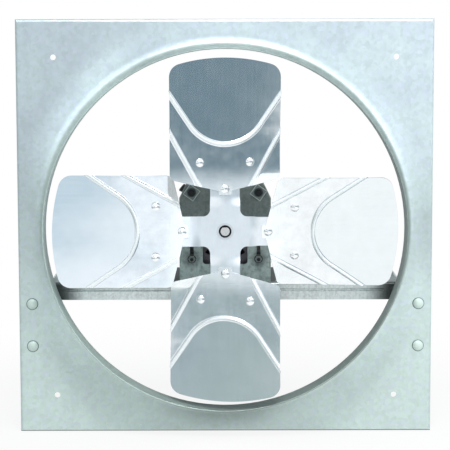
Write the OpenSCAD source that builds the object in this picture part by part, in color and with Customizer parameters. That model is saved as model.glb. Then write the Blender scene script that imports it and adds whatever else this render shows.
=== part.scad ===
// Panel-mounted whole house fan with a direct-drive four-blade propeller.
// The origin lies where the fan axis meets the front face of the panel. The air leaves
// towards -Y, +Z is up, and the motor hangs behind the panel on the +Y side.

/* [Panel] */
// Width and height of the square panel
panel_size = 744; // [720:1:800]
// Thickness of the panel sheet
panel_sheet = 1.5; // [1:0.1:2.5]
// Depth of the edges folded back
panel_edge = 38; // [25:1:60]
// Outer radius of the folds
panel_fold_r = 5; // [3:0.5:8]
// Distance between the mounting holes
hole_pitch = 609.6; // [560:0.1:640]
// Diameter of the mounting holes
hole_d = 10; // [6:0.5:14]

/* [Venturi ring] */
// Inner diameter of the ring
throat_d = 639; // [620:1:650]
// Radius of the bell mouth on the front side
bell_r = 20; // [12:1:28]
// How far the ring stands out from the panel
ring_depth = 70; // [50:1:90]
// Height of the hem folded over the rim
hem_h = 9; // [5:1:14]

/* [Propeller] */
// Diameter over the blade tips
tip_d = 609; // [560:1:620]
// Width of a blade across the air stream
blade_w = 198; // [170:1:210]
// Thickness of the blade sheet
blade_sheet = 1.6; // [1:0.1:2.5]
// Angle of the blades to the plane of rotation
blade_pitch = 13.5; // [6:0.5:22]
// How much of that angle the tip loses
tip_washout = 3; // [0:0.5:6]
// Distance from the spider pad at which the blade starts to lose it
washout_gap = 14; // [0:1:30]
// How far the long edges curl forward
blade_camber = 6; // [0:0.5:12]
// Half the width of the middle strip that stays flat
flat_half_w = 20; // [10:1:30]
// Length over which that curl builds up behind the spider pad
camber_l = 100; // [60:1:140]
// Radius of the tip corners
tip_corner_r = 24; // [12:1:40]
// Radius of the root corners
root_corner_r = 9; // [4:0.5:12]
// Distance from the axis to the root edge, in the middle of a blade
root_r = 69; // [64:0.5:76]
// How far the root edge falls back towards its corners
root_fall = 24; // [14:1:30]
// Width of the small tab in the middle of the root edge
root_tab_w = 23; // [14:1:30]
// How far that tab reaches towards the axis
root_tab_h = 4.5; // [3:0.5:8]
// Width of the stiffening ribs
rib_w = 10; // [6:0.5:14]
// Height of the stiffening ribs
rib_h = 3; // [1:0.5:5]
// Distance from the axis to the lowest point of the U-shaped rib
u_rib_r = 154; // [145:1:170]
// Radius of the bend of the U-shaped rib
u_rib_bend = 76; // [60:1:90]
// Angle of the straight legs of the U-shaped rib
u_rib_angle = 55.6; // [50:0.1:60]
// Distance from the middle at which a straight rib starts
side_rib_x = 47.5; // [44:0.5:56]
// Distance from the axis at which a straight rib starts
side_rib_r = 81; // [76:1:90]
// Angle of the straight ribs
side_rib_angle = 61; // [55:0.5:66]
// Distance from the axis to the crease of the bent root corner
flap_r = 102; // [98:1:110]
// Angle by which that corner is bent
flap_angle = 16; // [0:1:30]

/* [Spider and hub] */
// Distance of the spider's front face from the panel
spider_front = 62; // [50:1:75]
// Thickness of the spider plate
spider_plate = 2.5; // [2:0.1:4]
// Width of a spider arm
arm_w = 53; // [44:1:60]
// Radius of the inner corners between the arms
arm_fillet = 12.5; // [6:0.5:16]
// Distance from the axis at which an arm starts to twist
twist_start = 41; // [40:1:48]
// Distance before the blade's tab at which an arm has its full twist
twist_gap = 1; // [0.5:0.5:4]
// Half width of the pad below a blade
pad_half_w = 57; // [52:1:62]
// Distance from the axis to the outer edge of the pad
pad_end = 136; // [130:1:144]
// Distance from the root edge at which an arm starts to widen into the pad
pad_neck = 7; // [4:0.5:10]
// Distance from the outer rivets at which the pad has its full width
pad_shoulder = 12; // [8:1:20]
// Chamfer of the pad's outer corners
pad_corner = 8; // [4:0.5:12]
// Diameter of the hub behind the spider
hub_d = 38; // [32:1:44]
// Length of the hub behind the spider
hub_l = 30; // [22:1:36]
// Diameter of the hub's swaged neck
neck_d = 30; // [26:1:34]
// Diameter of the recess round the shaft end
recess_d = 22.6; // [19:0.1:25]
// Depth of that recess
recess_h = 7; // [3:0.5:12]

/* [Rivets] */
// Distance from the axis to the inner rivet of a blade
inner_rivet_r = 75.5; // [73:0.5:80]
// Distance from the axis to the outer pair of rivets
outer_rivet_r = 122; // [116:1:128]
// Distance of the outer rivets from the middle of the blade
outer_rivet_x = 45; // [40:1:48]
// Diameter of a rivet head
rivet_head_d = 15.5; // [10:0.5:17]
// Height of a rivet head
rivet_head_h = 3.2; // [2:0.1:5]
// Diameter of a rivet shank
rivet_d = 6; // [4:0.5:8]
// Diameter of the pressed end of a rivet, behind the spider
rivet_tail_d = 10; // [8:0.5:12]
// Height of that end
rivet_tail_h = 2; // [1:0.1:3]

/* [Legs] */
// Thickness of the leg sheet
leg_sheet = 2.5; // [2:0.1:4]
// Distance of the leg bolts from the side of the panel
leg_bolt_in = 24; // [18:1:30]
// Distance of the leg bolts from the inner face of a leg
leg_offset = 30.5; // [24:0.5:36]
// Distance of the upper leg bolts below the axis
leg_bolt_drop = 138; // [130:1:146]
// Distance between the two bolts of a leg
leg_bolt_pitch = 77; // [60:1:90]
// Margin of the leg foot above and below its bolts
leg_margin = 19; // [14:0.5:22]
// Depth of a leg at its rear end
leg_rear_h = 38; // [34:1:60]
// Width of a leg's side at its lower end
leg_low_w = 22; // [16:1:30]
// Distance behind the panel at which a leg's side meets the shelf
leg_rise_w = 26; // [20:1:30]

/* [Motor shelf] */
// Distance of the shelf's front face behind the panel face
shelf_front = 28; // [24:1:34]
// Depth of the shelf from front to rear
shelf_depth = 215; // [190:5:240]
// Distance of the shelf's top below the axis
shelf_drop = 104; // [101:1:112]
// Thickness of the shelf sheet
shelf_sheet = 1.9; // [1.5:0.1:3]
// Height of the shelf's folded lips
shelf_lip = 31; // [26:1:36]
// Radius of the groove pressed into the front lip
groove_r = 2.6; // [1.5:0.1:4]
// Distance of that groove below the shelf's top
groove_drop = 13; // [10:0.5:18]
// Distance of the groove's ends from the legs
groove_margin = 28; // [20:1:60]
// Distance of the front pair of shelf bolts from the front lip
shelf_bolt_front = 40; // [32:1:60]
// Distance of the rear pair of shelf bolts from the rear lip
shelf_bolt_rear = 34; // [24:1:60]

/* [Motor plate] */
// Half the width of the motor plate
plate_half_w = 83; // [80:1:88]
// Height of the plate's top above the axis
plate_top = 92; // [86:1:104]
// Where the chamfer starts on the side, above the axis
chamfer_low = 50; // [44:1:56]
// Angle of the chamfered corner from the vertical
chamfer_angle = 26; // [20:1:34]
// Distance of the plate's front face behind the front of the shelf
plate_setback = 2; // [0:0.5:8]
// Thickness of the plate sheet
plate_sheet = 2; // [1.5:0.1:3]
// Depth of the plate's folded edges
plate_edge = 13; // [8:1:18]
// Depth of the foot that stands on the shelf
plate_foot = 34; // [28:1:40]
// Half the width of the opening in the plate
window_half_w = 40.5; // [32:0.5:44]
// Height of the opening's top above the axis
window_top = 16; // [14:1:22]
// Distance of the opening's bottom below the axis
window_drop = 70; // [64:0.5:72]
// Distance between the four motor fixings
fixing_pitch = 121; // [114:1:124]
// Length of the slots for the lower fixings
slot_l = 34; // [10:1:40]
// Distance of the foot bolts from the sides of the plate
foot_bolt_in = 28; // [20:1:40]
// Distance of the foot bolts from the rear edge of the foot
foot_bolt_edge = 13; // [10:0.5:18]

/* [Motor] */
// Outer diameter of the motor shell
motor_d = 165; // [156:1:166]
// Wall of the motor shell
shell_wall = 2; // [1.5:0.1:3]
// Length of the motor shell
shell_l = 110; // [100:1:122]
// Height of the rubber isolators between plate and motor
isolator_h = 10; // [6:0.5:14]
// Thickness of a motor lug
lug_t = 8; // [6:0.5:12]
// Diameter of a motor lug
lug_d = 26; // [22:1:30]
// Wall of the end bells
bell_wall = 4; // [3:0.5:6]
// Depth of an end bell in front of the shell
bell_depth = 24; // [22:1:30]
// Depth of the stator core from the shell's wall to its bore
core_depth = 31.6; // [29:0.1:35]
// Distance of the stator core from both ends of the shell
core_margin = 24; // [20:0.5:28]
// Air gap between rotor and stator
air_gap = 0.4; // [0.3:0.05:0.8]
// Diameter of the shaft
shaft_d = 15.875; // [14:0.005:17]
// Running clearance of the bearings, on the radius
bearing_fit = 0.03; // [0.01:0.01:0.08]
// Outer diameter of a bearing sleeve
bearing_d = 26; // [22:1:30]
// Length of a bearing sleeve
bearing_l = 20; // [16:1:22]
// Distance of the through bolts from the shell's wall
through_in = 3.5; // [3:0.1:5]
// Wall of the bearing boss round its sleeve
boss_wall = 5; // [4:0.5:8]
// How far the bearing boss stands out in front of the lugs
boss_proud = 4; // [2:0.5:6]
// Radius of the rounded shoulder of the end bells
shoulder_r = 12; // [8:1:16]
// Number of curved vent slots in an end bell
vent_count = 8; // [4:1:12]
// Angle over which a vent slot runs
vent_sweep = 27; // [15:1:35]
// Angle of the lead bushing, counter-clockwise seen from the front
lead_angle = 140; // [100:1:170]
// Radius of the lead bushing
bushing_r = 7; // [5:0.5:8]
// How far the lead bushing stands out from the shell
bushing_h = 22; // [12:1:26]
// Height of the heads of the motor fixings
fixing_head_h = 4.4; // [4:0.1:6]

/* [Fasteners] */
// Diameter of the leg bolts
leg_bolt_d = 9.5; // [8:0.1:10]
// Diameter of the dome heads of the leg bolts
leg_head_d = 21.4; // [18:0.1:24]
// Diameter of the motor fixing bolts
fixing_d = 6.35; // [5:0.05:8]
// Diameter of the bolts of shelf and plate foot
frame_bolt_d = 6.35; // [5:0.05:8]
// Diameter of the through bolts of the motor
through_d = 5; // [4:0.1:5.5]
// Width across flats of the nuts on the leg bolts
leg_nut_flats = 14.3; // [13:0.1:16]
// Width across flats of the heads and nuts of the motor fixings
fixing_flats = 11.1; // [10:0.1:13]
// Height of the nuts of the motor fixings
fixing_nut_h = 5.6; // [4:0.1:7]
// Width across flats of the heads and nuts on shelf and foot
frame_flats = 11; // [10:0.1:12.7]
// Height of the nuts on shelf and foot
frame_nut_h = 5.5; // [4:0.1:7]
// Side of the square washers of the upper motor fixings
square_washer_w = 22.5; // [18:0.5:26]
// Angle at which those washers happen to sit
square_washer_turn = 54; // [0:1:90]
// Thickness of all washers
washer_h = 1.6; // [1:0.1:2.5]
// Clearance of a bolt in its hole, on the diameter
bolt_play = 0.6; // [0.2:0.1:1.2]
// Small gap that keeps neighbouring pieces apart
seat_gap = 0.3; // [0.1:0.05:0.5]

/* [Hidden] */
$fn = 96;
far = 2000;

throat_r = throat_d / 2;
ring_r = throat_r + panel_sheet;
shaft_r = shaft_d / 2;
leg_bolt_x = panel_size / 2 - leg_bolt_in;
leg_x = leg_bolt_x - leg_offset; // inner face of a leg
twist_end = root_r - root_tab_h - twist_gap;

plate_front = shelf_front + plate_setback;
plate_rear = plate_front + plate_sheet;
lug_front = plate_rear + isolator_h;
lug_rear = lug_front + lug_t;
shell_front = lug_front + bell_depth;
shell_rear = shell_front + shell_l;
motor_rear = shell_rear + bell_depth;
core_r = motor_d / 2 - shell_wall;
core_bore = 2 * (core_r - core_depth);
core_mid = shell_front + shell_l / 2;
core_l = shell_l - 2 * core_margin;
through_r = core_r - through_in;
boss_r = bearing_d / 2 + boss_wall;
boss_front = lug_front - boss_proud;
boss_cap = 2; // closed end of the front bearing's seat
bearing_cap = 4; // closed end of the rear bearing's seat
front_bearing_rear = boss_front + boss_cap + bearing_l;
rear_bearing_front = motor_rear - bearing_cap - bearing_l;
rotor_r = core_bore / 2 - air_gap;
hub_rear = hub_l + spider_plate - spider_front;
neck_l = spider_plate + 0.5; // the neck is swaged over the spider
set_screw_d = 7.9;
shaft_flat = 1; // how much the flat for the set screw takes off the shaft
end_ring_h = 8; // cast rings on the faces of the rotor core
shelf_top = -shelf_drop;
shelf_rear = shelf_front + shelf_depth;
shelf_bolt_z = shelf_top - shelf_lip / 2;
shelf_bolt_y = [shelf_front + shelf_bolt_front, shelf_rear - shelf_bolt_rear];
foot_bolt_x = plate_half_w - foot_bolt_in;
foot_bolt_y = plate_front + plate_foot - foot_bolt_edge;
fixing_half = fixing_pitch / 2;
fixing_hole_d = fixing_d + bolt_play;
frame_hole_d = frame_bolt_d + bolt_play;
frame_bolt_l = 9; // thread that reaches past the sheets it holds
through_lug_r = 5;
through_sink = 6; // how deep the heads of the through bolts sit in the rear end bell
bushing_collar = 2; // how far the bushing's collar stands out all round
bushing_y = shell_front + bushing_r + bushing_collar;
bushing_neck_r = bushing_r - 2; // the neck that passes through the shell
bushing_wall = 1.5;

steel = [0.76, 0.82, 0.83];
dark_steel = [0.36, 0.40, 0.41];
zinc = [0.84, 0.87, 0.90];
blade_grey = [0.66, 0.72, 0.76];
black = [0.12, 0.12, 0.13];
copper = [0.66, 0.38, 0.20];
bronze = [0.62, 0.48, 0.28];

// ---- helpers ----

// Draws its children as seen by someone in front of the fan, with +z towards that person.
module front_view(y = 0) {
    translate([0, y, 0])
        rotate([90, 0, 0])
            children();
}

// Turns its children about the fan axis; a positive angle is counter-clockwise from the front.
module around(angle, y = 0) {
    front_view(y)
        rotate([0, 0, angle])
            children();
}

module tube(outer_r, inner_r, h) {
    difference() {
        cylinder(r = outer_r, h = h);
        translate([0, 0, -1])
            cylinder(r = inner_r, h = h + 2);
    }
}

// Hexagonal head or nut, measured across its flats.
module hexagon(flats, h) {
    cylinder(d = flats / cos(30), h = h, $fn = 6);
}

module hex_bolt(d, flats, head_h, shank_l) {
    hexagon(flats, head_h);
    translate([0, 0, -shank_l])
        cylinder(d = d, h = shank_l);
}

// Domed head that stands on z = 0.
module dome(d, h) {
    sphere_r = (d * d / 4 + h * h) / (2 * h);
    intersection() {
        translate([0, 0, h - sphere_r])
            sphere(r = sphere_r);
        cylinder(d = d, h = h + 1);
    }
}

module hex_nut(d, flats, h) {
    difference() {
        hexagon(flats, h);
        translate([0, 0, -1])
            cylinder(d = d, h = h + 2);
    }
}

// Half space below z = 0 and inside x = reach, with its outer upper corner rounded.
module rounded_half(reach, depth, r) {
    translate([-far, -depth])
        square([far + reach, depth - r]);
    translate([-far, -depth])
        square([far + reach - r, depth]);
    translate([reach - r, -r])
        circle(r = r);
}

// Block whose sides are folded down; edges holds the direction and distance of each side.
module folded_block(edges, depth, r) {
    intersection_for (edge = edges)
        rotate([0, 0, edge[0]])
            translate([0, far / 2, 0])
                rotate([90, 0, 0])
                    linear_extrude(far)
                        rounded_half(edge[1], depth, r);
}

// Open tray of folded sheet with its face on top at z = 0.
module folded_tray(edges, depth, sheet, r) {
    inner = [for (edge = edges) [edge[0], edge[1] - sheet]];
    difference() {
        folded_block(edges, depth, r);
        translate([0, 0, -sheet])
            folded_block(inner, depth + 1, r - sheet);
    }
}

function rectangle_edges(half_x, half_y) =
    [[0, half_x], [90, half_y], [180, half_x], [270, half_y]];

// ---- panel with venturi ring ----

module ring_profile() {
    // bell mouth, a quarter round between panel and ring
    translate([ring_r + bell_r, bell_r])
        intersection() {
            difference() {
                circle(r = bell_r + panel_sheet);
                circle(r = bell_r);
            }
            translate([-bell_r - panel_sheet, -bell_r - panel_sheet])
                square(bell_r + panel_sheet);
        }
    translate([throat_r, bell_r])
        square([panel_sheet, ring_depth - bell_r - panel_sheet]);
    // the hem: the rim is folded outwards and lies back on the wall
    translate([ring_r, ring_depth - panel_sheet - hem_h])
        square([panel_sheet, hem_h]);
    translate([ring_r, ring_depth - panel_sheet])
        intersection() {
            circle(r = panel_sheet);
            translate([-panel_sheet, 0])
                square([2 * panel_sheet, panel_sheet]);
        }
}

module venturi_panel() {
    half = panel_size / 2;
    seam_w = 0.8;
    color(steel)
        front_view()
            difference() {
                union() {
                    difference() {
                        folded_tray(rectangle_edges(half, half), panel_edge, panel_sheet,
                            panel_fold_r);
                        translate([0, 0, -panel_sheet - 1])
                            cylinder(r = ring_r + bell_r, h = panel_sheet + 2);
                    }
                    rotate_extrude()
                        ring_profile();
                }
                // mounting holes
                for (x = [-1, 1], z = [-1, 1])
                    translate([x * hole_pitch / 2, z * hole_pitch / 2, -panel_sheet - 1])
                        cylinder(d = hole_d, h = panel_sheet + 2);
                // square holes that keep the leg bolts from turning
                leg_bolt_places()
                    translate([-leg_bolt_d / 2, -leg_bolt_d / 2, -panel_sheet - 1])
                        cube([leg_bolt_d, leg_bolt_d, panel_sheet + 2]);
                // open seams where two folded edges meet
                for (turn = [0:90:270])
                    rotate([0, 0, turn + 45])
                        translate([half, -seam_w / 2, -panel_edge - 1])
                            cube([half, seam_w, panel_edge - panel_fold_r - 1]);
            }
}

// ---- legs and shelf ----

// Places of the four leg bolts in the front view.
module leg_bolt_places() {
    for (x = [-1, 1], row = [0, 1])
        translate([x * leg_bolt_x, -leg_bolt_drop - row * leg_bolt_pitch, 0])
            children();
}

// The right-hand leg, from its foot behind the panel to its rear end.
module leg() {
    foot_front = panel_sheet;
    foot_edge = panel_size / 2 - panel_fold_r;
    bend_r = leg_sheet + 2;
    foot_top = -leg_bolt_drop + leg_margin;
    foot_h = leg_bolt_pitch + 2 * leg_margin;
    difference() {
        union() {
            // foot
            translate([leg_x + bend_r, foot_front, foot_top - foot_h])
                cube([foot_edge - leg_x - bend_r, leg_sheet, foot_h]);
            // bend between foot and side
            translate([leg_x + bend_r, foot_front + bend_r, foot_top - foot_h])
                intersection() {
                    tube(bend_r, bend_r - leg_sheet, foot_h);
                    translate([-bend_r, -bend_r, 0])
                        cube([bend_r, bend_r, foot_h]);
                }
            // side plate, deep at the panel and shallow at the rear
            translate([leg_x, 0, 0])
                rotate([90, 0, 90])
                    linear_extrude(leg_sheet)
                        polygon([
                            [foot_front + bend_r, foot_top - foot_h],
                            [foot_front + leg_low_w, foot_top - foot_h],
                            [shelf_rear, shelf_top - leg_rear_h],
                            [shelf_rear, shelf_top],
                            [foot_front + leg_rise_w, shelf_top],
                            [foot_front + bend_r, foot_top]]);
        }
        front_view(foot_front + leg_sheet + 1)
            leg_bolt_places()
                cylinder(d = leg_bolt_d + bolt_play, h = leg_sheet + 2);
        shelf_bolt_places()
            cylinder(d = frame_hole_d, h = 20, center = true);
    }
}

// Places of the bolts between shelf and leg, with z pointing outwards from the leg's outer face.
module shelf_bolt_places() {
    for (y = shelf_bolt_y)
        translate([leg_x + leg_sheet, y, shelf_bolt_z])
            rotate([0, 90, 0])
                children();
}

module right_leg() {
    color(steel)
        leg();
}

module left_leg() {
    color(steel)
        mirror([1, 0, 0])
            leg();
}

module leg_bolts() {
    shank_l = 19;
    color(zinc)
        front_view()
            leg_bolt_places() {
                dome(leg_head_d, 5);
                translate([-leg_bolt_d / 2, -leg_bolt_d / 2, -panel_sheet])
                    cube([leg_bolt_d, leg_bolt_d, panel_sheet]);
                translate([0, 0, -shank_l])
                    cylinder(d = leg_bolt_d, h = shank_l);
            }
}

// The nuts have a washer flange, so each is one piece.
module leg_nuts() {
    nut_h = 7;
    flange_r = 10.5;
    color(zinc)
        front_view(panel_sheet + leg_sheet + nut_h + washer_h)
            leg_bolt_places() {
                hex_nut(leg_bolt_d, leg_nut_flats, nut_h);
                translate([0, 0, nut_h])
                    tube(flange_r, leg_bolt_d / 2, washer_h);
            }
}

module motor_shelf() {
    groove_half_l = leg_x - groove_margin;
    groove_z = shelf_top - groove_drop;
    color(steel)
        difference() {
            union() {
                translate([0, shelf_front + shelf_depth / 2, shelf_top])
                    folded_tray(rectangle_edges(leg_x, shelf_depth / 2), shelf_lip,
                        shelf_sheet, shelf_sheet + 2);
                // back of the groove
                translate([-groove_half_l, shelf_front + shelf_sheet / 2, groove_z])
                    rotate([0, 90, 0])
                        cylinder(r = groove_r + shelf_sheet / 2, h = 2 * groove_half_l);
            }
            translate([-groove_half_l + shelf_sheet, shelf_front, groove_z])
                rotate([0, 90, 0])
                    cylinder(r = groove_r, h = 2 * (groove_half_l - shelf_sheet));
            translate([-leg_x, shelf_front - groove_r - 4, shelf_top - shelf_lip])
                cube([2 * leg_x, groove_r + 4, shelf_lip]);
            foot_bolt_places()
                cylinder(d = frame_hole_d, h = 20, center = true);
            for (side = [0, 1])
                mirror([side, 0, 0])
                    shelf_bolt_places()
                        cylinder(d = frame_hole_d, h = 20, center = true);
        }
}

module shelf_bolts() {
    color(zinc)
        for (side = [0, 1])
            mirror([side, 0, 0])
                shelf_bolt_places()
                    hex_bolt(frame_bolt_d, frame_flats, 4.2,
                        leg_sheet + shelf_sheet + frame_bolt_l);
}

module shelf_nuts() {
    color(zinc)
        for (side = [0, 1])
            mirror([side, 0, 0])
                shelf_bolt_places()
                    translate([0, 0, -leg_sheet - shelf_sheet - frame_nut_h])
                        hex_nut(frame_bolt_d, frame_flats, frame_nut_h);
}

// ---- motor plate and its fixings ----

module motor_plate() {
    chamfer_reach = plate_half_w * cos(chamfer_angle) + chamfer_low * sin(chamfer_angle);
    edges = [
        [0, plate_half_w],
        [chamfer_angle, chamfer_reach],
        [90, plate_top],
        [180 - chamfer_angle, chamfer_reach],
        [180, plate_half_w],
        [270, shelf_drop]];
    fold_r = plate_sheet + 1.5;
    window_r = 5;
    color(dark_steel)
        difference() {
            union() {
                front_view(plate_front)
                    folded_tray(edges, plate_edge, plate_sheet, fold_r);
                translate([-plate_half_w + fold_r, plate_front + plate_edge - 1, shelf_top])
                    cube([2 * (plate_half_w - fold_r), plate_foot - plate_edge + 1,
                        plate_sheet]);
            }
            front_view(plate_rear + 1)
                linear_extrude(plate_sheet + 2) {
                    // rounded rectangular opening
                    translate([-window_half_w, -window_drop + window_r])
                        square([2 * window_half_w, window_top + window_drop - 2 * window_r]);
                    translate([-window_half_w + window_r, -window_drop])
                        square([2 * (window_half_w - window_r), window_top + window_drop]);
                    for (x = [-1, 1], z = [-window_drop + window_r, window_top - window_r])
                        translate([x * (window_half_w - window_r), z])
                            circle(r = window_r);
                    for (x = [-fixing_half, fixing_half]) {
                        // upper fixing holes
                        translate([x, fixing_half])
                            circle(d = fixing_hole_d);
                        // slots for the lower fixings
                        for (z = [-fixing_half, -fixing_half + slot_l])
                            translate([x, z])
                                circle(d = fixing_hole_d);
                        translate([x - fixing_hole_d / 2, -fixing_half])
                            square([fixing_hole_d, slot_l]);
                    }
                }
            foot_bolt_places()
                cylinder(d = frame_hole_d, h = 20, center = true);
        }
}

// Places of the two bolts through the plate's foot, on top of the shelf.
module foot_bolt_places() {
    for (x = [-1, 1])
        translate([x * foot_bolt_x, foot_bolt_y, shelf_top])
            children();
}

module foot_bolts() {
    color(zinc)
        foot_bolt_places()
            translate([0, 0, plate_sheet])
                hex_bolt(frame_bolt_d, frame_flats, 4.2,
                    plate_sheet + shelf_sheet + frame_bolt_l);
}

module foot_nuts() {
    color(zinc)
        foot_bolt_places()
            translate([0, 0, -shelf_sheet - frame_nut_h])
                hex_nut(frame_bolt_d, frame_flats, frame_nut_h);
}

// Places of the four motor fixings in the front view.
module fixing_places(rows = [-1, 1]) {
    for (x = [-1, 1], z = rows)
        translate([x * fixing_half, z * fixing_half, 0])
            children();
}

module fixing_bolts() {
    reach = lug_rear - plate_front + 12;
    color(dark_steel)
        front_view(lug_rear)
            fixing_places() {
                translate([0, 0, -fixing_head_h])
                    hexagon(fixing_flats, fixing_head_h);
                cylinder(d = fixing_d, h = reach);
            }
}

module fixing_nuts() {
    color(dark_steel)
        front_view(plate_front - washer_h)
            fixing_places()
                hex_nut(fixing_d, fixing_flats, fixing_nut_h);
}

// The upper fixings have large square washers, set on edge.
module square_washers() {
    color(dark_steel)
        front_view(plate_front)
            fixing_places([1])
                rotate([0, 0, square_washer_turn])
                    difference() {
                        translate([-square_washer_w / 2, -square_washer_w / 2, 0])
                            cube([square_washer_w, square_washer_w, washer_h]);
                        translate([0, 0, -1])
                            cylinder(d = fixing_hole_d, h = washer_h + 2);
                    }
}

module round_washers() {
    color(dark_steel)
        front_view(plate_front)
            fixing_places([-1])
                tube(8, fixing_hole_d / 2, washer_h);
}

// Rubber bushings with a waist, one behind the plate at each fixing.
module isolators() {
    isolator_wall = 8;
    color(black)
        front_view(lug_front)
            fixing_places()
                rotate_extrude()
                    translate([fixing_hole_d / 2, 0])
                        difference() {
                            square([isolator_wall, isolator_h]);
                            translate([isolator_wall + 0.8, isolator_h / 2])
                                circle(r = isolator_h / 4);
                        }
}

// ---- motor ----

module quarter_disc(r) {
    intersection() {
        circle(r = r);
        square(r + 1);
    }
}

// Cup of an end bell: open towards -z, closed at z = depth, with a rounded shoulder.
module bell_cup(depth) {
    r = motor_d / 2;
    rotate_extrude()
        difference() {
            union() {
                square([r, depth - shoulder_r]);
                square([r - shoulder_r, depth]);
                translate([r - shoulder_r, depth - shoulder_r])
                    quarter_disc(shoulder_r);
            }
            difference() {
                union() {
                    translate([0, -1])
                        square([r - bell_wall, depth - shoulder_r + 1]);
                    translate([0, -1])
                        square([r - shoulder_r, depth - bell_wall + 1]);
                    translate([r - shoulder_r, depth - shoulder_r])
                        quarter_disc(shoulder_r - bell_wall);
                }
                // keeps the middle for the bearing boss
                square([boss_r, 2 * depth]);
            }
        }
}

// Curved vent slots round the boss, cut through the closed side of an end bell.
module bell_vents() {
    inner_r = boss_r + 8;
    outer_r = motor_d / 2 - 20;
    pitch = 360 / vent_count;
    translate([0, 0, bell_depth - 10])
        for (i = [0:vent_count - 1])
            rotate([0, 0, (i + 0.5) * pitch - vent_sweep / 2])
                rotate_extrude(angle = vent_sweep)
                    translate([inner_r, 0])
                        square([outer_r - inner_r, 20]);
}

// Places of the four through bolts.
module through_places() {
    for (turn = [0:90:270])
        rotate([0, 0, turn])
            translate([through_r, 0, 0])
                children();
}

module front_end_bell() {
    lug_start = motor_d / 2 - 16;
    lug_web_w = lug_d - 3;
    lug_proud = 1.5; // machined faces of the lugs in front of the bell
    head_room_r = fixing_flats / cos(30) / 2 + seat_gap;
    head_room_h = fixing_head_h + 1;
    through_end = 4; // metal left in front of the through bolts
    color(black)
        front_view(shell_front)
            difference() {
                union() {
                    bell_cup(bell_depth - lug_proud);
                    // bearing boss
                    cylinder(r = boss_r, h = shell_front - boss_front);
                    // lugs
                    translate([0, 0, bell_depth - lug_t]) {
                        fixing_places()
                            cylinder(d = lug_d, h = lug_t);
                        for (turn = [45:90:315])
                            rotate([0, 0, turn])
                                translate([lug_start, -lug_web_w / 2, 0])
                                    cube([fixing_half * sqrt(2) - lug_start, lug_web_w,
                                        lug_t - 2 * lug_proud]);
                    }
                    through_places()
                        cylinder(r = through_lug_r, h = bell_depth - through_end);
                }
                // seat of the bearing and passage of the shaft
                translate([0, 0, -1])
                    cylinder(d = bearing_d, h = shell_front - boss_front - boss_cap + 1);
                cylinder(r = shaft_r + 1, h = 2 * bell_depth);
                fixing_places()
                    cylinder(d = fixing_hole_d, h = 2 * bell_depth);
                // room for the heads of the motor fixings behind the lugs
                translate([0, 0, bell_depth - lug_t - head_room_h])
                    fixing_places()
                        cylinder(r = head_room_r, h = head_room_h);
                translate([0, 0, -1])
                    through_places()
                        cylinder(d = through_d, h = bell_depth - 2 * through_end + 1);
                bell_vents();
            }
}

module rear_end_bell() {
    color(black)
        translate([0, shell_rear, 0])
            rotate([-90, 0, 0])
                difference() {
                    union() {
                        bell_cup(bell_depth);
                        cylinder(r = boss_r, h = bell_depth);
                        through_places()
                            cylinder(r = through_lug_r, h = bell_depth - through_sink);
                    }
                    translate([0, 0, -1])
                        cylinder(d = bearing_d, h = bell_depth - bearing_cap + 1);
                    through_places() {
                        translate([0, 0, -1])
                            cylinder(d = through_d + bolt_play, h = bell_depth);
                        // flats below the heads of the through bolts
                        translate([0, 0, bell_depth - through_sink])
                            cylinder(r = through_lug_r + 1, h = bell_depth);
                    }
                    bell_vents();
                }
}

module motor_shell() {
    color(black)
        difference() {
            front_view(shell_rear)
                tube(motor_d / 2, core_r, shell_l);
            bushing_frame()
                cylinder(r = bushing_neck_r + bolt_play / 2, h = motor_d);
        }
}

module stator_core() {
    color(dark_steel)
        front_view(core_mid + core_l / 2)
            difference() {
                tube(core_r, core_bore / 2, core_l);
                translate([0, 0, -1])
                    through_places()
                        cylinder(d = through_d + bolt_play, h = core_l + 2);
            }
}

// The two bundles of end turns, one on each face of the core.
module stator_windings() {
    inner = core_bore / 2 + 5;
    outer = through_r - through_d / 2 - 3;
    height = 15;
    corner = 5;
    color(copper)
        for (side = [-1, 1])
            translate([0, core_mid + side * core_l / 2, 0])
                rotate([-90 * side, 0, 0])
                    rotate_extrude() {
                        translate([inner, 0])
                            square([outer - inner, height - corner]);
                        translate([inner + corner, 0])
                            square([outer - inner - 2 * corner, height]);
                        for (r = [inner + corner, outer - corner])
                            translate([r, height - corner])
                                circle(r = corner);
                    }
}

module bearing() {
    tube(bearing_d / 2, shaft_r + bearing_fit, bearing_l);
}

module front_bearing() {
    color(bronze)
        front_view(front_bearing_rear)
            bearing();
}

module rear_bearing() {
    color(bronze)
        front_view(rear_bearing_front + bearing_l)
            bearing();
}

module through_bolts() {
    head_seat = motor_rear - through_sink;
    head_h = 3.5;
    color(zinc)
        front_view(head_seat)
            through_places() {
                translate([0, 0, -head_h])
                    hexagon(8, head_h);
                cylinder(d = through_d, h = head_seat - lug_front - 8);
            }
}

// Frame of the lead bushing: z points out of the shell, with z = 0 on the fan axis.
module bushing_frame() {
    around(lead_angle, bushing_y)
        rotate([0, 90, 0])
            children();
}

// Bushing in the motor's shell where its leads come out: a neck in the shell's hole, a broad
// collar hollowed to lie on the round shell, and a narrow one near the open end.
module lead_bushing() {
    motor_r = motor_d / 2;
    collar_r = bushing_r + bushing_collar;
    color(black)
        difference() {
            union() {
                difference() {
                    bushing_frame() {
                        cylinder(r = bushing_r, h = motor_r + bushing_h);
                        cylinder(r = collar_r, h = motor_r + 5);
                        translate([0, 0, motor_r + bushing_h - 4])
                            cylinder(r = bushing_r + 1, h = 3);
                    }
                    front_view(bushing_y + far / 2)
                        cylinder(r = motor_r + seat_gap, h = far);
                }
                bushing_frame()
                    translate([0, 0, core_r + seat_gap])
                        cylinder(r = bushing_neck_r, h = shell_wall + 2);
            }
            bushing_frame()
                cylinder(r = bushing_neck_r - bushing_wall, h = motor_r + bushing_h + 1);
        }
}

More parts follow.
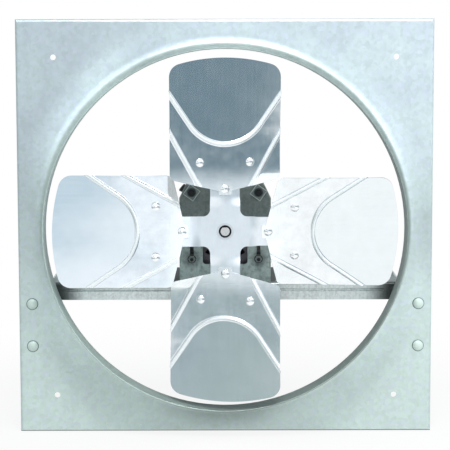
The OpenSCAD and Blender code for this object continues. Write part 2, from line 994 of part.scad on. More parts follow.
// ---- rotating parts ----

module shaft() {
    shaft_front = spider_front - 1.5;
    shaft_rear = motor_rear - bearing_cap - 1;
    color(zinc)
        front_view(shaft_rear)
            difference() {
                cylinder(r = shaft_r, h = shaft_rear + shaft_front);
                // flat for the set screw
                translate([-shaft_r, shaft_r - shaft_flat, shaft_rear - hub_rear])
                    cube([shaft_d, 2 * shaft_flat, spider_front + hub_rear + 1]);
            }
}

// Collars on the shaft that keep the rotor from sliding against the bearings.
module thrust_collars() {
    rotor_front = core_mid - core_l / 2 - end_ring_h;
    rotor_rear = core_mid + core_l / 2 + end_ring_h;
    front_face = front_bearing_rear + seat_gap;
    rear_face = rear_bearing_front - seat_gap;
    collar_r = bearing_d / 2 - 2;
    color(zinc) {
        front_view(rotor_front)
            tube(collar_r, shaft_r, rotor_front - front_face);
        front_view(rear_face)
            tube(collar_r, shaft_r, rear_face - rotor_rear);
    }
}

module rotor_core() {
    color(dark_steel)
        front_view(core_mid + core_l / 2 + end_ring_h) {
            translate([0, 0, end_ring_h])
                tube(rotor_r, shaft_r, core_l);
            for (z = [0, end_ring_h + core_l])
                translate([0, 0, z]) {
                    tube(rotor_r - 3, rotor_r - 16, end_ring_h);
                    tube(shaft_r + 8, shaft_r, end_ring_h);
                }
        }
}

module hub() {
    color(zinc)
        front_view(hub_rear)
            difference() {
                union() {
                    cylinder(d = hub_d, h = hub_l);
                    cylinder(d = neck_d, h = hub_l + neck_l);
                }
                translate([0, 0, -1])
                    cylinder(r = shaft_r, h = hub_l + neck_l + 2);
                translate([0, 0, hub_l + neck_l - recess_h])
                    cylinder(d = recess_d, h = recess_h + 1);
                // tapped hole of the set screw
                translate([0, 0, hub_l / 3])
                    rotate([-90, 0, 0])
                        cylinder(d = set_screw_d, h = hub_d);
            }
}

// Square-headed set screw that presses on the shaft's flat.
module hub_screw() {
    screw_seat = shaft_r - shaft_flat;
    thread_l = hub_d / 2 - screw_seat + 2;
    head_w = 8;
    color(dark_steel)
        front_view(hub_rear)
            translate([0, screw_seat, hub_l / 3])
                rotate([-90, 0, 0]) {
                    cylinder(d = set_screw_d, h = thread_l);
                    translate([-head_w / 2, -head_w / 2, thread_l])
                        cube([head_w, head_w, 6]);
                }
}

// Frame of one blade: x across the blade, y along it, z forward, turned to the blade's pitch.
module blade_frame(index) {
    around(-90 * index, -spider_front)
        rotate([0, blade_pitch, 0])
            children();
}

module rivet_places() {
    translate([0, inner_rivet_r, 0])
        children();
    for (x = [-1, 1])
        translate([x * outer_rivet_x, outer_rivet_r, 0])
            children();
}

module spider() {
    // Only the part of an arm beyond the twist lies in the frame of its blade.
    square_half = arm_w / 2 + arm_fillet;
    color(zinc)
        difference() {
            union() {
                front_view(-spider_front + spider_plate)
                    linear_extrude(spider_plate)
                        difference() {
                            union() {
                                square([arm_w, 2 * twist_start], center = true);
                                square([2 * twist_start, arm_w], center = true);
                                square(2 * square_half, center = true);
                            }
                            for (x = [-1, 1], z = [-1, 1])
                                translate([x * square_half, z * square_half])
                                    circle(r = arm_fillet);
                        }
                // twisted necks and the pads below the blades
                for (index = [0:3]) {
                    hull() {
                        around(-90 * index, -spider_front)
                            arm_slice(twist_start);
                        blade_frame(index)
                            arm_slice(twist_end);
                    }
                    blade_frame(index)
                        translate([0, 0, -spider_plate])
                            linear_extrude(spider_plate)
                                pad_outline();
                }
            }
            front_view(0)
                cylinder(d = neck_d, h = 2 * spider_front);
            for (index = [0:3])
                blade_frame(index)
                    rivet_places()
                        cylinder(d = rivet_d, h = 20, center = true);
        }
}

module arm_slice(r) {
    translate([-arm_w / 2, r - 0.05, -spider_plate])
        cube([arm_w, 0.1, spider_plate]);
}

module pad_outline() {
    neck_end = root_r + pad_neck;
    shoulder_y = outer_rivet_r - pad_shoulder;
    polygon([
        [-arm_w / 2, twist_end],
        [arm_w / 2, twist_end],
        [arm_w / 2, neck_end],
        [pad_half_w, shoulder_y],
        [pad_half_w, pad_end - pad_corner],
        [pad_half_w - pad_corner, pad_end],
        [-pad_half_w + pad_corner, pad_end],
        [-pad_half_w, pad_end - pad_corner],
        [-pad_half_w, shoulder_y],
        [-arm_w / 2, neck_end]]);
}

// ---- blade surface ----

half_w = blade_w / 2;
tip_r = tip_d / 2;
corner_x = half_w - tip_corner_r;
corner_y = sqrt(pow(tip_r - tip_corner_r, 2) - corner_x * corner_x);
tab_half = root_tab_w / 2;
u_bend_x = u_rib_bend * sin(u_rib_angle);
washout_start = pad_end + washout_gap;
row_gap = 1.2; // least distance between the rows of the sheet near its root

function ramp(t) = let (s = min(1, max(0, t))) s * s * (3 - 2 * s);

// Root edge: a shallow V with a tab in its middle and rounded corners.
function root_round(x) = let (in = max(0, abs(x) - half_w + root_corner_r))
    root_corner_r - sqrt(max(0, root_corner_r * root_corner_r - in * in));
function root_line(x) = abs(x) < tab_half + 0.1
    ? root_r - root_tab_h
    : root_r + root_fall * abs(x) / half_w + root_round(x);

// Tip edge: an arc about the fan axis that runs into the rounded corners.
function tip_line(x) = abs(x) <= corner_x * tip_r / (tip_r - tip_corner_r)
    ? sqrt(tip_r * tip_r - x * x)
    : corner_y + sqrt(max(0, tip_corner_r * tip_corner_r - pow(abs(x) - corner_x, 2)));

// Middle line of the straight ribs.
function side_rib_line(x) = side_rib_r + (abs(x) - side_rib_x) * tan(side_rib_angle);

// Middle line of the U-shaped rib and its slope.
function u_rib_slope(x) = tan(asin(min(abs(x), u_bend_x) / u_rib_bend));
function u_rib_line(x) = let (bent = min(abs(x), u_bend_x))
    u_rib_r + u_rib_bend - sqrt(u_rib_bend * u_rib_bend - bent * bent)
    + (abs(x) - bent) * tan(u_rib_angle);

// Rounded cross-section of a rib at a distance from its middle line.
function rib_rise(d) = abs(d) < rib_w / 2 ? rib_h * (1 + cos(360 * d / rib_w)) / 2 : 0;

function side_rib_rise(x, y) = abs(x) < side_rib_x - rib_w
    ? 0
    : rib_rise((y - side_rib_line(x)) * cos(side_rib_angle));
function u_rib_rise(x, y) = rib_rise((y - u_rib_line(x)) * cos(atan(u_rib_slope(x))));

// The root corner on the leading side is bent forward along a crease.
function flap_rise(x, y) = x > 0 && y < flap_r && y < side_rib_line(x) - rib_w
    ? (flap_r - y) * tan(flap_angle)
    : 0;

function blade_rise(x, y) =
    side_rib_rise(x, y) + u_rib_rise(x, y) + flap_rise(x, y)
    + blade_camber * pow(max(0, abs(x) - flat_half_w) / (half_w - flat_half_w), 2)
        * ramp((y - pad_end) / camber_l)
    + x * tan(tip_washout) * ramp((y - washout_start) / (tip_r - pad_end));

// Columns of the sheet, closer together at the tab and round the tip corners.
blade_half_columns = concat(
    [tab_half / 2, tab_half],
    [for (i = [0:7]) tab_half + 1 + (corner_x - tab_half - 1) * i / 7],
    [for (a = [15:15:90]) corner_x + tip_corner_r * sin(a)]);
blade_columns = concat(
    [for (i = [len(blade_half_columns) - 1:-1:0]) -blade_half_columns[i]],
    [0],
    blade_half_columns);

// Rows of the sheet in one column: they follow the crease and the ribs.
function blade_rows(x) =
    let (
        root = root_line(x),
        tip = tip_line(x),
        rib_reach = rib_w / 2 / cos(side_rib_angle),
        u_reach = rib_w / 2 / cos(atan(u_rib_slope(x))),
        rib = [for (i = [-2:2])
            max(root + row_gap * (i + 3), side_rib_line(x) + rib_reach * i / 2)],
        crease = max(root + row_gap / 2, min(flap_r, rib[0] - row_gap / 2)),
        u = [for (i = [-2:2]) u_rib_line(x) + u_reach * i / 2])
    concat(
        [root, crease],
        rib,
        [for (i = [1, 2]) rib[4] + (u[0] - rib[4]) * i / 3],
        u,
        [for (i = [1, 2]) u[4] + (tip - u[4]) * i / 3],
        [tip]);

module blade_surface() {
    rows = [for (x = blade_columns) blade_rows(x)];
    columns = len(blade_columns);
    count = len(rows[0]);
    layer = columns * count;
    points = [for (z = [blade_sheet, 0], i = [0:columns - 1], j = [0:count - 1])
        let (x = blade_columns[i], y = rows[i][j])
        [x, y, z + blade_rise(x, y)]];
    function at(i, j, side) = side * layer + i * count + j;
    function quad(a, b, c, d) = [[a, b, c], [a, c, d]];
    faces = concat(
        [for (i = [0:columns - 2], j = [0:count - 2], t = quad(
            at(i, j, 0), at(i, j + 1, 0), at(i + 1, j + 1, 0), at(i + 1, j, 0))) t],
        [for (i = [0:columns - 2], j = [0:count - 2], t = quad(
            at(i, j, 1), at(i + 1, j, 1), at(i + 1, j + 1, 1), at(i, j + 1, 1))) t],
        [for (i = [0:columns - 2], t = quad(
            at(i, 0, 0), at(i + 1, 0, 0), at(i + 1, 0, 1), at(i, 0, 1))) t],
        [for (i = [0:columns - 2], t = quad(
            at(i + 1, count - 1, 0), at(i, count - 1, 0),
            at(i, count - 1, 1), at(i + 1, count - 1, 1))) t],
        [for (j = [0:count - 2], t = quad(
            at(0, j + 1, 0), at(0, j, 0), at(0, j, 1), at(0, j + 1, 1))) t],
        [for (j = [0:count - 2], t = quad(
            at(columns - 1, j, 0), at(columns - 1, j + 1, 0),
            at(columns - 1, j + 1, 1), at(columns - 1, j, 1))) t]);
    polyhedron(points = points, faces = faces, convexity = 4);
}

module blade(index) {
    color(blade_grey)
        blade_frame(index)
            difference() {
                blade_surface();
                rivet_places()
                    translate([0, 0, -1])
                        cylinder(d = rivet_d, h = blade_sheet + 2);
            }
}

module blade_1() {
    blade(0);
}

module blade_2() {
    blade(1);
}

module blade_3() {
    blade(2);
}

module blade_4() {
    blade(3);
}

module blade_rivets() {
    color(zinc)
        for (index = [0:3])
            blade_frame(index)
                rivet_places() {
                    translate([0, 0, blade_sheet])
                        dome(rivet_head_d, rivet_head_h);
                    translate([0, 0, -spider_plate])
                        cylinder(d = rivet_d, h = spider_plate + blade_sheet);
                    translate([0, 0, -spider_plate - rivet_tail_h])
                        cylinder(d = rivet_tail_d, h = rivet_tail_h);
                }
}

venturi_panel();
left_leg();
right_leg();
leg_bolts();
leg_nuts();
motor_shelf();
shelf_bolts();
shelf_nuts();
motor_plate();
foot_bolts();
foot_nuts();
fixing_bolts();
fixing_nuts();
square_washers();
round_washers();
isolators();
front_end_bell();
rear_end_bell();
motor_shell();
stator_core();
stator_windings();
front_bearing();
rear_bearing();
through_bolts();
lead_bushing();
shaft();
thrust_collars();
rotor_core();
hub();
hub_screw();
spider();
blade_1();
blade_2();
blade_3();
blade_4();
blade_rivets();
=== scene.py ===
import math

import bmesh
import bpy
from mathutils import Matrix, Vector


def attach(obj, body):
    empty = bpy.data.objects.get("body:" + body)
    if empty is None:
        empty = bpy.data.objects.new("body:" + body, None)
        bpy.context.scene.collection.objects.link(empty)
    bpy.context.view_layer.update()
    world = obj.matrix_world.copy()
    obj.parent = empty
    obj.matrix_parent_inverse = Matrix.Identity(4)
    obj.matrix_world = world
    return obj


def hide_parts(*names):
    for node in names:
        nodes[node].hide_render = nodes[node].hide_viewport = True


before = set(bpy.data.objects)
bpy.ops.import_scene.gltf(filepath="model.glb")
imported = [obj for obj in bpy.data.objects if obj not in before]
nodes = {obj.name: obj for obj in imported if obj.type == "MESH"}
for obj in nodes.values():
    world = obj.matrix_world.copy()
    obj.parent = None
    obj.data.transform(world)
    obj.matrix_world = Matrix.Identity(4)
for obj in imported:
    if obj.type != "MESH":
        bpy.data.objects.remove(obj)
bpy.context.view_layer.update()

print("frame loaded, pieces:", len(nodes))


class Wire:  # an output socket that can be used in Python sums
    def __init__(self, bench, socket):
        self.bench = bench
        self.socket = socket

    def apply(self, operation, *others):
        return self.bench.add("ShaderNodeMath", {"operation": operation},
                              dict(enumerate((self, *others))))

    def __add__(self, other):
        return self.apply("ADD", other)

    def __sub__(self, other):
        return self.apply("SUBTRACT", other)

    def __rsub__(self, other):
        return self.apply("MULTIPLY_ADD", -1.0, other)

    def __mul__(self, other):
        return self.apply("MULTIPLY", other)

    def __neg__(self):
        return self.apply("MULTIPLY", -1.0)

    __radd__ = __add__
    __rmul__ = __mul__

    def twin(self, name):  # another output of the node that this one comes from
        return Wire(self.bench, self.socket.node.outputs[name])

    def between(self, low, high, start=0.0, end=1.0):  # smooth step from low to high
        return self.bench.add("ShaderNodeMapRange", {"interpolation_type": "SMOOTHSTEP"},
                              {"Value": self, "From Min": low, "From Max": high,
                               "To Min": start, "To Max": end})


class Bench:  # one node tree and the few moves that every finish here needs
    def __init__(self, name, tree=None):
        self.material = None
        if tree is None:
            self.material = bpy.data.materials.new(name)
            self.material.use_nodes = True
            tree = self.material.node_tree
        self.tree = tree
        tree.nodes.clear()

    def add(self, kind, settings=None, sockets=None, out=0):
        node = self.tree.nodes.new(kind)
        for name, value in (settings or {}).items():
            setattr(node, name, value)
        for name, value in (sockets or {}).items():
            self.feed(node.inputs[name], value)
        return None if out is None else Wire(self, node.outputs[out])

    def feed(self, socket, value):
        if isinstance(value, Wire):
            self.tree.links.new(value.socket, socket)
        elif socket.type == "RGBA":
            socket.default_value = (*value, 1)
        else:
            socket.default_value = value

    def place(self):  # object coordinates, in metres
        return self.add("ShaderNodeTexCoord", out="Object")

    def painted(self, name, out="Fac"):  # a value that the mesh carries
        return self.add("ShaderNodeAttribute", {"attribute_name": name}, out=out)

    def parts(self, spot):  # x, y and z of a vector
        x = self.add("ShaderNodeSeparateXYZ", sockets={"Vector": spot})
        return x, x.twin("Y"), x.twin("Z")

    def stretch(self, spot, scale):
        return self.add("ShaderNodeMapping", {}, {"Vector": spot, "Scale": scale})

    def noise(self, spot, scale, detail=3.0, rough=0.55):
        return self.add("ShaderNodeTexNoise", {}, {"Vector": spot, "Scale": scale,
                                                   "Detail": detail, "Roughness": rough})

    def dirt(self, spot, scale):  # noise with ragged edges
        return self.noise(spot, scale, detail=4, rough=0.7)

    def cells(self, spot, scale):  # one random number for each crystal
        colour = self.add("ShaderNodeTexVoronoi", {}, {"Vector": spot, "Scale": scale},
                          out="Color")
        return self.add("ShaderNodeSeparateColor", {}, {"Color": colour})

    def shade(self, colour, amount):
        return self.add("ShaderNodeVectorMath", {"operation": "SCALE"},
                        {0: colour, "Scale": amount})

    def blend(self, factor, first, second):  # sockets 6 and 7 and output 2 are for colours
        return self.add("ShaderNodeMix", {"data_type": "RGBA"},
                        {"Factor": factor, 6: first, 7: second}, out=2)

    def bump(self, height, strength, depth, before=None):
        sockets = {"Height": height, "Strength": strength, "Distance": depth}
        if before is not None:
            sockets["Normal"] = before
        return self.add("ShaderNodeBump", {}, sockets)

    def finish(self, sockets):
        shader = self.add("ShaderNodeBsdfPrincipled", {}, sockets)
        self.add("ShaderNodeOutputMaterial", {}, {"Surface": shader}, out=None)
        return self.material


grainScale = 900  # the finest texture of the metals
grainDepth = 0.0002
fixingPlace = 0.0605  # the motor's fixings sit this far to the sides, up and down
bellCentre = {"radius": 0.341, "depth": 0.020}  # of the arc from the panel into its ring


def distance(across, along):
    return (across * across + along * along).apply("SQRT")


def fromFixing(spot):  # offsets to the right and up from the nearest motor fixing
    x, y, z = spot.bench.parts(spot)
    return x - x.apply("SIGN") * fixingPlace, z - z.apply("SIGN") * fixingPlace


# Measures of a place on the sheet pieces, in metres, which the zones are limited by.
def measuresAt(spot):
    side, depth, height = spot.bench.parts(spot)
    radius = distance(side, height)
    outwards = (bellCentre["depth"] - depth).apply("MAXIMUM", 0)
    return {"side": side, "depth": depth, "height": height, "radius": radius,
            "aside": side.apply("ABSOLUTE"), "above": height.apply("ABSOLUTE"),
            "bell": distance(bellCentre["radius"] - radius, outwards),
            "fixing": distance(*fromFixing(spot))}


# A zone fades in between the two limits of each measure that it names, up to its amount.
def zoneAt(measures, amount=1.0, **limits):
    share = amount
    for name, ends in limits.items():
        share = measures[name].between(*ends) * share
    return share


# Painted light and shade round the panel's ring: darker on its inside, more so to the right and
# at the top, with a painted highlight on the upper bend.
def ringPaintedLight(measures, drawn, look):
    zones = {name: zoneAt(measures, **zone) for name, zone in look["zones"].items()}
    bright = zones["bright"] * (1 - drawn)
    shadedInside = drawn * (1 + measures["side"] * look["rightward"] + zones["top"])
    lit = (zones["corner"] * (1 - drawn * look["cornerLoss"])
           + (zones["flank"] + zones["crown"] * (1 - bright)) * (1 - drawn) - zones["dim"])
    return (1 + (bright * look["glint"] - shadedInside) * look["insideShade"]) * (1 + lit)


# Rolled sheet with a zinc coat: faint crystals, soft clouds and streaks along the rolling.
def galvanised(name, look):
    bench = Bench(name)
    spot = bench.place()
    crystals = bench.cells(spot, look["crystalScale"]) - 0.5
    clouds = bench.noise(spot, look["cloudScale"], detail=4)
    mottles = bench.noise(spot, look["mottleScale"], rough=0.6)
    streaks = bench.noise(bench.stretch(spot, look["rolled"]), look["streakScale"]) - 0.5
    stains = bench.noise(spot, look["stainScale"], detail=5, rough=0.7)
    grain = bench.noise(spot, grainScale, detail=2)
    tone = (1 + crystals * look["crystals"] + (clouds - 0.5) * look["clouds"]
            + (mottles - 0.5) * look["mottles"] + streaks * look["streaks"]
            - stains.between(*look["stainFrom"]) * look["stains"])
    measures = measuresAt(spot)
    # Painted shade deeper in: darker on the ring's inside wall, on the shelf top under the
    # motor and on the plate's parts further back. The sheet is also less metallic and rougher
    # there.
    depthShade = zoneAt(measures, **look["depthShade"])
    tone *= 1 - depthShade
    for zone in look["shades"].values():
        tone *= 1 - zoneAt(measures, **zone)
    # Colour by height: on the panel a painted reflection, bluer above and greener below; on the
    # plate painted shade, darker higher up.
    tint = bench.blend(measures["height"].between(*look["span"]),
                       look["lowColour"], look["highColour"])
    tint = bench.blend(mottles.between(*look["speckleFrom"]) * look["speckles"],
                       tint, look["speckle"])
    tint = bench.blend(clouds.between(*look["patchFrom"]) * look["patches"],
                       tint, look["patch"])
    # The panel's ring gets its painted light and shade here, with a greener tint on its inside.
    if look["ring"]:
        drawn = zoneAt(measures, **look["ring"]["drawn"])
        tint = bench.blend(drawn * look["ring"]["tint"], tint, look["patch"])
        tone *= ringPaintedLight(measures, drawn, look["ring"])
    rough = (look["rough"] + crystals * look["roughSpread"]
             + (grain - 0.5) * look["roughGrain"] + depthShade * look["dullness"])
    return bench.finish({
        "Base Color": bench.shade(tint, tone),
        "Metallic": look["metallic"] - depthShade * look["dullness"], "Roughness": rough,
        "Normal": bench.bump(grain + streaks, look["bump"], grainDepth)})


# Drawn is the ring's inside, painted darker; bright is a painted highlight on the upper bend;
# the other zones paint lighter and darker sheet round it.
ringLightLook = {
    "insideShade": 0.36, "glint": 0.7, "rightward": 1.9, "cornerLoss": 0.6, "tint": 0.72,
    "drawn": {"radius": (0.336, 0.329), "bell": (0.0204, 0.0210)},
    "zones": {
        "bright": {"radius": (0.346, 0.339), "height": (0.02, 0.22)},
        "top": {"amount": 0.4, "height": (0.22, 0.33)},
        "corner": {"amount": 0.36, "side": (-0.12, -0.24), "height": (0.06, 0.24),
                   "radius": (0.40, 0.345)},
        "flank": {"amount": 0.20, "above": (0.04, 0.16), "aside": (0.18, 0.30),
                  "radius": (0.385, 0.342)},
        "crown": {"amount": 0.10, "height": (0.22, 0.33), "radius": (0.39, 0.35)},
        "dim": {"amount": 0.18, "side": (0.33, 0.365), "above": (0.14, 0)}}}

# Painted shade: the panel darker just below the ring, and the shelf and plate darker low in the
# middle.
lowShadeZone = {"amount": 0.33, "radius": (0.375, 0.335), "height": (0, -0.20),
            "aside": (0.17, 0.02)}

panelLook = {
    # The high and low colours are a painted reflection: bluer above, greener below.
    "highColour": (0.56, 0.65, 0.69), "lowColour": (0.59, 0.70, 0.655), "span": (-0.30, 0.30),
    "speckle": (0.51, 0.54, 0.68), "speckles": 0.40, "speckleFrom": (0.42, 0.66),
    "patch": (0.57, 0.70, 0.65), "patches": 0.22, "patchFrom": (0.46, 0.60),
    "crystalScale": 150, "crystals": 0.10, "cloudScale": 9, "clouds": 0.18,
    "mottleScale": 85, "mottles": 0.34, "rolled": (1, 1, 0.04), "streakScale": 60,
    "streaks": 0.10, "stainScale": 24, "stains": 0.03, "stainFrom": (0.55, 0.75),
    "metallic": 0.50, "rough": 0.44, "roughSpread": 0.10, "roughGrain": 0.12, "bump": 0.12,
    "ring": ringLightLook, "depthShade": dict(ringLightLook["drawn"], amount=0.70, depth=(0.003, 0.011)),
    "dullness": 0.5,
    # Painted shade: a contact shadow along the bottom hem and shade down the left side.
    "shades": {"lowShade": lowShadeZone, "hem": {"amount": 0.75, "height": (-0.3692, -0.3708)},
               "left": {"amount": 0.16, "side": (0.02, -0.30), "height": (-0.22, 0.10)}}}

shelfLook = dict(
    panelLook, highColour=(0.77, 0.82, 0.81), lowColour=(0.77, 0.82, 0.81),
    speckle=(0.68, 0.74, 0.75), patches=0.0, crystalScale=260, crystals=0.26, clouds=0.20,
    mottleScale=200, mottles=0.16, rolled=(1, 1, 0.03), streakScale=300, streaks=0.45,
    stainScale=60, stains=0.12, metallic=0.85, rough=0.34, ring=None,
    # Painted shade: the shelf top is darker under the motor.
    depthShade={"amount": 0.78, "depth": (0.031, 0.045), "aside": (0.20, 0.12),
          "height": (-0.1058, -0.1045)},
    # Painted shade: the shelf's lip is darker at its two ends.
    shades={"lowShade": lowShadeZone,
            "ends": {"amount": 0.85, "aside": (0.25, 0.30), "depth": (0.045, 0.031)}})

legLook = dict(shelfLook, metallic=0.3, rough=0.5, depthShade={"amount": 0.0}, shades={})

# The plate's high and low colours are painted shade: darker higher up.
plateLook = dict(
    panelLook, highColour=(0.26, 0.295, 0.28), lowColour=(0.50, 0.60, 0.58),
    span=(-0.09, 0.05), speckle=(0.11, 0.16, 0.13), speckles=0.5, patches=0.0, crystals=0.12,
    cloudScale=22, clouds=0.5, mottleScale=130, mottles=0.35, rolled=(1, 1, 0.05),
    streakScale=180, streaks=0.35, stainScale=70, stains=0.3, metallic=0.45, ring=None,
    # Painted shade: the plate is darker further back.
    depthShade={"amount": 0.70, "depth": (0.04, 0.06)},
    # The plate is darker close to each motor fixing.
    shades={"lowShade": lowShadeZone, "nearFixingDark": {"amount": 0.4, "fixing": (0.020, 0.009)}})


# Nuts and washers of the motor: the same sheet grey, lighter at their outer edges, darker round
# the bolt, and darker for the upper pair.
def fixingSteel(name, look):
    bench = Bench(name)
    spot = bench.place()
    side, height = fromFixing(spot)
    lean = math.radians(look["lean"])
    across = (side * math.cos(lean) + height * math.sin(lean)).apply("ABSOLUTE")
    along = (height * math.cos(lean) - side * math.sin(lean)).apply("ABSOLUTE")
    edge = across.apply("MAXIMUM", along).between(look["edge"] - look["edgeSoft"], look["edge"])
    rim = distance(side, height).between(look["rim"] + look["rimSoft"], look["rim"])
    dirt = bench.dirt(spot, look["dirtScale"])
    grain = bench.noise(spot, grainScale, detail=2)
    upper = bench.parts(spot)[2].between(*look["span"])
    colour = bench.blend(upper, look["lowColour"], look["highColour"])
    colour = bench.blend(rim, colour, look["boltRingColour"])
    colour = bench.blend(edge, colour, look["edgeColour"])
    return bench.finish({
        "Base Color": bench.shade(colour, look["tone"] + dirt * look["dirt"]),
        "Metallic": look["metallic"], "Roughness": look["rough"] + dirt * look["roughSpread"],
        "Normal": bench.bump(grain + dirt, look["bump"], grainDepth)})


washerLook = {
    "highColour": (0.20, 0.235, 0.225), "lowColour": (0.30, 0.345, 0.325),
    "span": (-0.01, 0.01), "boltRingColour": (0.05, 0.06, 0.06), "edgeColour": (0.70, 0.76, 0.74),
    "lean": 54, "edge": 0.0108, "edgeSoft": 0.0007, "rim": 0.0072, "rimSoft": 0.002,
    "dirtScale": 260, "tone": 0.65, "dirt": 0.7, "metallic": 0.5, "rough": 0.30,
    "roughSpread": 0.25, "bump": 0.2}
nutLook = dict(washerLook, highColour=(0.016, 0.02, 0.022), lowColour=(0.20, 0.235, 0.225),
               edge=0.02, rim=0.0)


# Plated or bare metal with a clear reflection, fine lines and faint smears.
def sheen(name, look):
    bench = Bench(name)
    spot = bench.place()
    clouds = bench.noise(spot, look["cloudScale"], detail=5, rough=0.6) - 0.5
    lines = bench.noise(bench.stretch(spot, look["drawn"]), look["lineScale"]) - 0.5
    smears = bench.noise(spot, look["smearScale"], detail=4, rough=0.6) - 0.5
    grain = bench.noise(spot, look["grainScale"], detail=2) - 0.5
    tone = 1 + clouds * look["clouds"] + lines * look["lines"] + smears * look["smears"]
    rough = (look["rough"] + clouds * look["roughClouds"] + lines * look["roughLines"]
             + grain * look["roughGrain"])
    return bench.finish({
        "Base Color": bench.shade(look["colour"], tone), "Metallic": look["metallic"],
        "Roughness": rough,
        "Normal": bench.bump(lines * look["ridges"] + grain, look["bump"], look["bumpDepth"])})


zincLook = {
    "colour": (0.80, 0.855, 0.91), "cloudScale": 30, "clouds": 0.12, "smearScale": 60,
    "smears": 0.10, "drawn": (1, 1, 0.1), "lineScale": 420, "lines": 0.08, "ridges": 2,
    "grainScale": 1100, "metallic": 0.85, "rough": 0.36, "roughClouds": 0.10,
    "roughLines": 0.08, "roughGrain": 0.05, "bump": 0.08, "bumpDepth": 0.00012}
rivetLook = dict(zincLook, colour=(0.90, 0.92, 0.94), rough=0.13, clouds=0.05)
steelLook = dict(zincLook, colour=(0.60, 0.61, 0.62), rough=0.24, lineScale=900, lines=0.15,
                 bump=0.12)
bronzeLook = dict(zincLook, colour=(0.50, 0.36, 0.17), rough=0.38, smears=0.3)


# Heads of the leg bolts: dull plating, with a painted shadow round their edges and random dirt
# over them.
def boltHeads(name, look):
    bench = Bench(name)
    spot = bench.place()
    side, depth, height = bench.parts(spot)
    across = side.apply("ABSOLUTE") - look["side"]
    along = (height - look["middle"]).apply("ABSOLUTE") - look["apart"]
    rim = distance(across, along).between(look["rim"] - look["rimSoft"], look["rim"])
    dirt = bench.dirt(spot, look["dirtScale"])
    # Painted shadow round the rim of each head.
    colour = bench.blend(rim, look["colour"], look["rimShadowColour"])
    return bench.finish({
        "Base Color": bench.shade(colour, look["tone"] + dirt * look["dirt"]),
        "Metallic": look["metallic"], "Roughness": look["rough"] + dirt * look["roughSpread"],
        "Normal": bench.bump(dirt, look["bump"], grainDepth)})


headLook = {
    "colour": (0.56, 0.66, 0.62), "rimShadowColour": (0.09, 0.14, 0.13), "side": 0.348,
    "middle": -0.1765, "apart": 0.0385, "rim": 0.0102, "rimSoft": 0.0016, "dirtScale": 180,
    "tone": 0.85, "dirt": 0.3, "metallic": 0.25, "rough": 0.45, "roughSpread": 0.2,
    "bump": 0.15}


# The hub is plated, but its recess round the shaft end is painted dark: painted shadow and old
# grease.
def shadowedGreasyHub(name, look):
    bench = Bench(name)
    spot = bench.place()
    x, y, z = bench.parts(spot)
    dirt = bench.dirt(spot, look["dirtScale"])
    ragged = distance(x, z) + (dirt - 0.5) * look["ragged"]
    inside = ragged.between(look["edge"], look["edge"] - look["edgeSoft"])
    front = y.between(look["front"] + look["frontSoft"], look["front"])
    swage = bench.noise(spot, look["swageScale"]) - 0.5
    # Painted shadow and grease inside the recess.
    colour = bench.blend(inside, look["colour"], look["shadowAndGrease"])
    tone = 1 + swage * look["swage"] - front * look["frontShade"]
    return bench.finish({
        "Base Color": bench.shade(colour, tone),
        "Metallic": inside.between(0, 1, look["metallic"], look["greaseMetallic"]),
        "Roughness": (inside.between(0, 1, look["rough"], look["greaseRough"])
                      + swage * look["roughSpread"]),
        "Normal": bench.bump(dirt, look["bump"], grainDepth)})


hubLook = {
    "colour": (0.78, 0.83, 0.88), "metallic": 1.0, "rough": 0.30, "roughSpread": 0.08,
    "shadowAndGrease": (0.012, 0.016, 0.020), "greaseMetallic": 0.1, "greaseRough": 0.55,
    "edge": 0.01145, "edgeSoft": 0.0006, "ragged": 0.0006, "dirtScale": 220,
    "front": -0.0620, "frontSoft": 0.001, "frontShade": 0.06, "swageScale": 400,
    "swage": 0.15, "bump": 0.15}


# Black finishes: oxide, paint, rubber and plastic with a little dust on them.
def blackFinish(name, look):
    bench = Bench(name)
    spot = bench.place()
    clouds = bench.noise(spot, look["cloudScale"]) - 0.5
    grain = bench.noise(spot, look["grainScale"], detail=2)
    dust = bench.dirt(spot, look["dustScale"]).between(*look["dustFrom"])
    colour = bench.blend(dust * look["dust"], look["colour"], look["dustColour"])
    return bench.finish({
        "Base Color": bench.shade(colour, 1 + clouds * look["clouds"]),
        "Metallic": look["metallic"], "Roughness": look["rough"] + clouds * look["roughSpread"],
        "Normal": bench.bump(grain, look["bump"], grainDepth)})


oxideLook = {
    "colour": (0.010, 0.014, 0.016), "cloudScale": 40, "clouds": 0.4,
    "dustColour": (0.05, 0.06, 0.06), "dustScale": 130, "dustFrom": (0.55, 0.80), "dust": 0.3,
    "metallic": 0.3, "rough": 0.42, "roughSpread": 0.15, "grainScale": 600, "bump": 0.15}
rubberLook = dict(oxideLook, colour=(0.016, 0.016, 0.017), metallic=0.0, rough=0.75,
                  grainScale=900, bump=0.35)
paintLook = dict(oxideLook, colour=(0.12, 0.112, 0.126), dustColour=(0.14, 0.13, 0.14),
                 metallic=0.0, rough=0.40, grainScale=320, bump=0.30)
plasticLook = dict(oxideLook, colour=(0.045, 0.052, 0.052), dustColour=(0.12, 0.13, 0.13),
                   metallic=0.0, rough=0.45, grainScale=1500, bump=0.10)


# Stacked sheets of the motor's cores, seen from their edges.
def laminated(name, look):
    bench = Bench(name)
    spot = bench.place()
    depth = bench.parts(spot)[1]
    edge = (depth * look["sheets"]).apply("SINE").between(*look["edgeFrom"])
    rust = bench.dirt(spot, look["rustScale"]).between(*look["rustFrom"])
    colour = bench.blend(rust * look["rust"], look["colour"], look["rustColour"])
    return bench.finish({
        "Base Color": bench.shade(colour, 1 - look["gaps"] + edge * look["gaps"]),
        "Metallic": look["metallic"], "Roughness": look["rough"] + rust * look["roughSpread"],
        "Normal": bench.bump(edge, look["bump"], look["bumpDepth"])})


